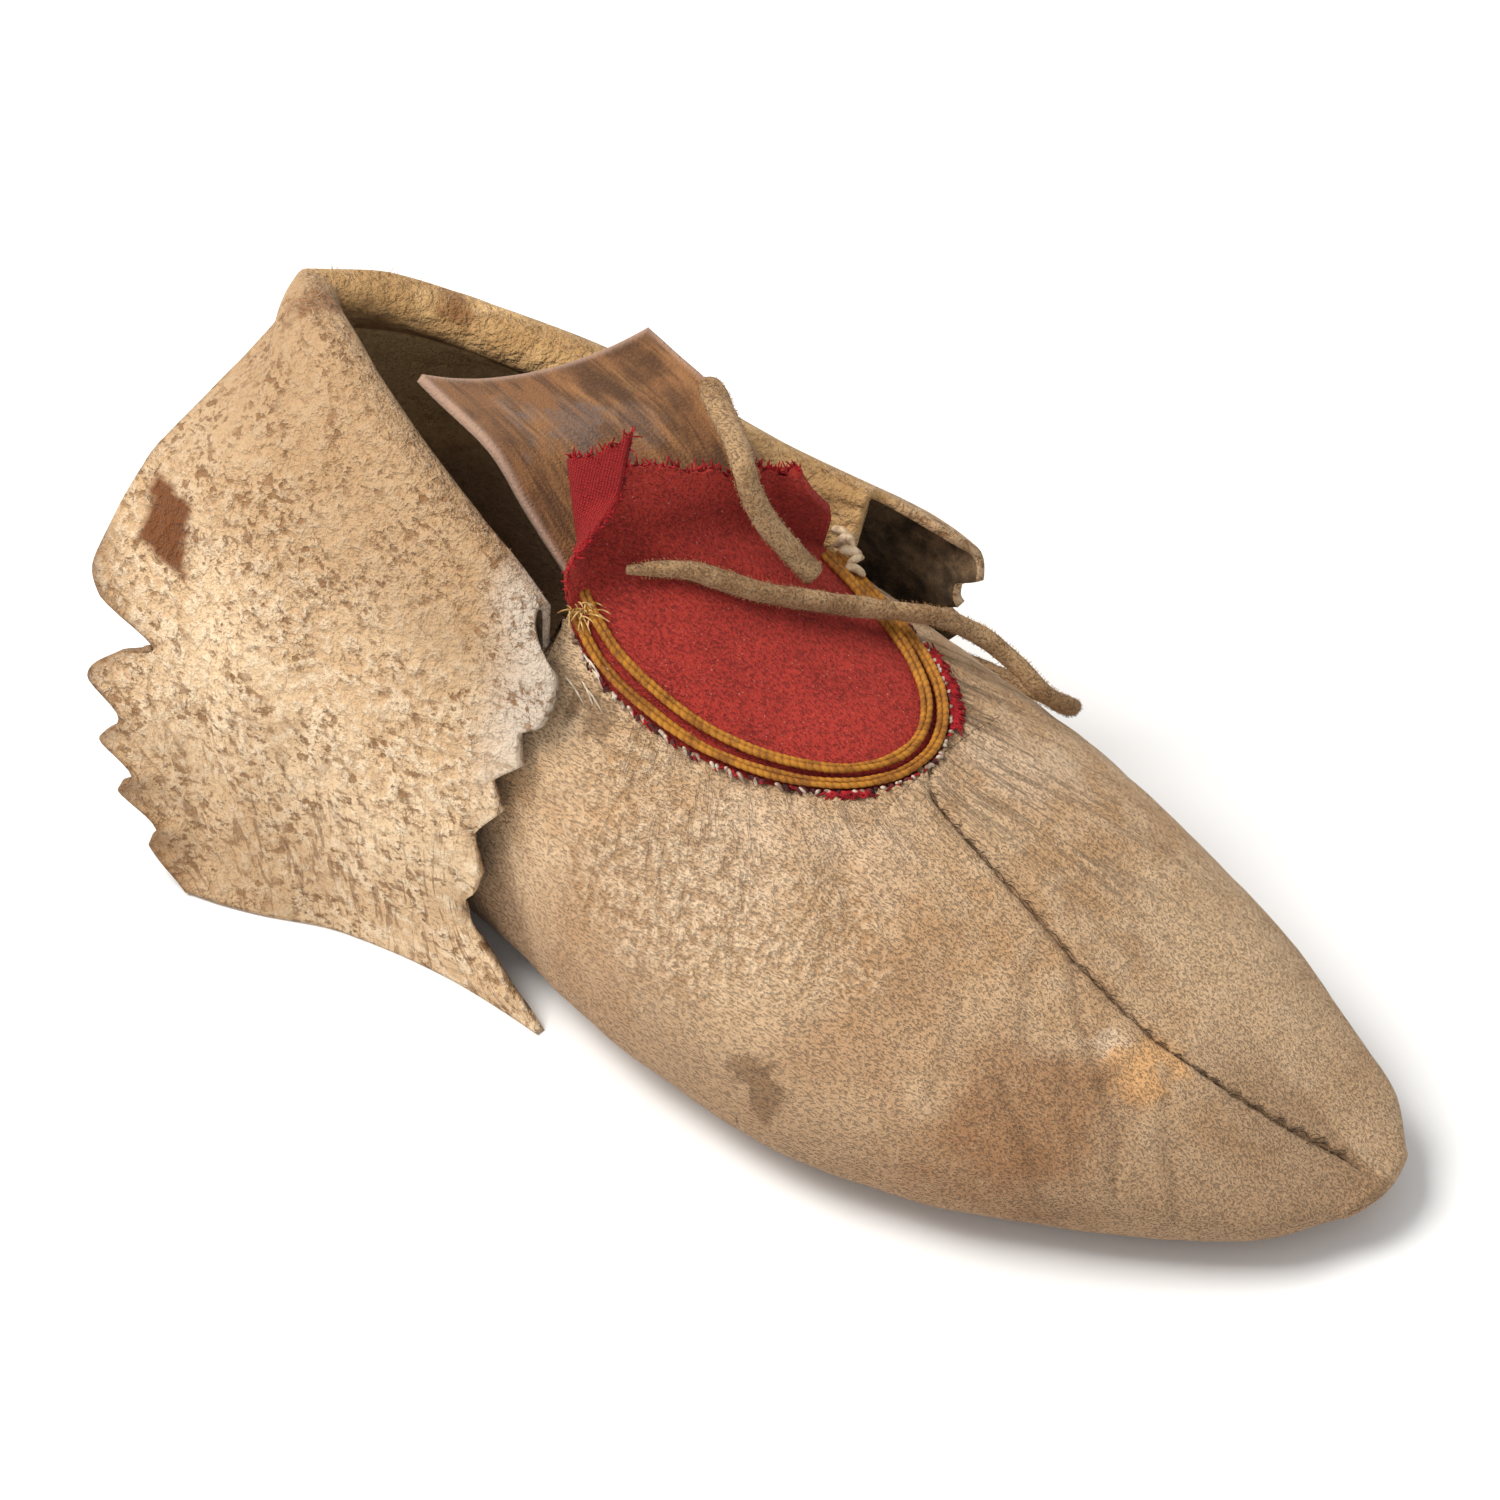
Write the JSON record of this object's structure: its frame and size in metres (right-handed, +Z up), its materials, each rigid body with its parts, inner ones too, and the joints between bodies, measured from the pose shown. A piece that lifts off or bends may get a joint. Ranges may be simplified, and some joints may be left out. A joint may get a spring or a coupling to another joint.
{
  "type": "soft-soled moccasin",
  "caption": "Soft-soled hide moccasin for the right foot: puckered vamp with a cloth-filled U, wrapped edging rows, tongue, tie and a tall turned-down ankle cuff with pinked ends.",
  "frame": {"origin": "on the flat of the sole, halfway between heel and toe", "axes": "+X to the toe, +Y to the inner (medial) side of the foot, +Z up"},
  "size_m": [0.2474, 0.1124, 0.103],
  "materials": {
    "buckskin": "matte nap",
    "speckled_hide": "matte, speckled with dark short hair",
    "red_cloth": "felted wool",
    "ochre_thread": "wrapped, low sheen",
    "brown_suede": "suede",
    "tie_hide": "fuzzy suede"
  },
  "bodies": {
    "root": {"moccasin_body": "buckskin", "ankle_cuff": "speckled_hide", "vamp_cloth": "red_cloth", "quill_edging_outer": "ochre_thread", "quill_edging_inner": "ochre_thread", "tongue": "brown_suede", "thong_inner": "tie_hide", "thong_outer": "tie_hide"}
  },
  "joints": []
}
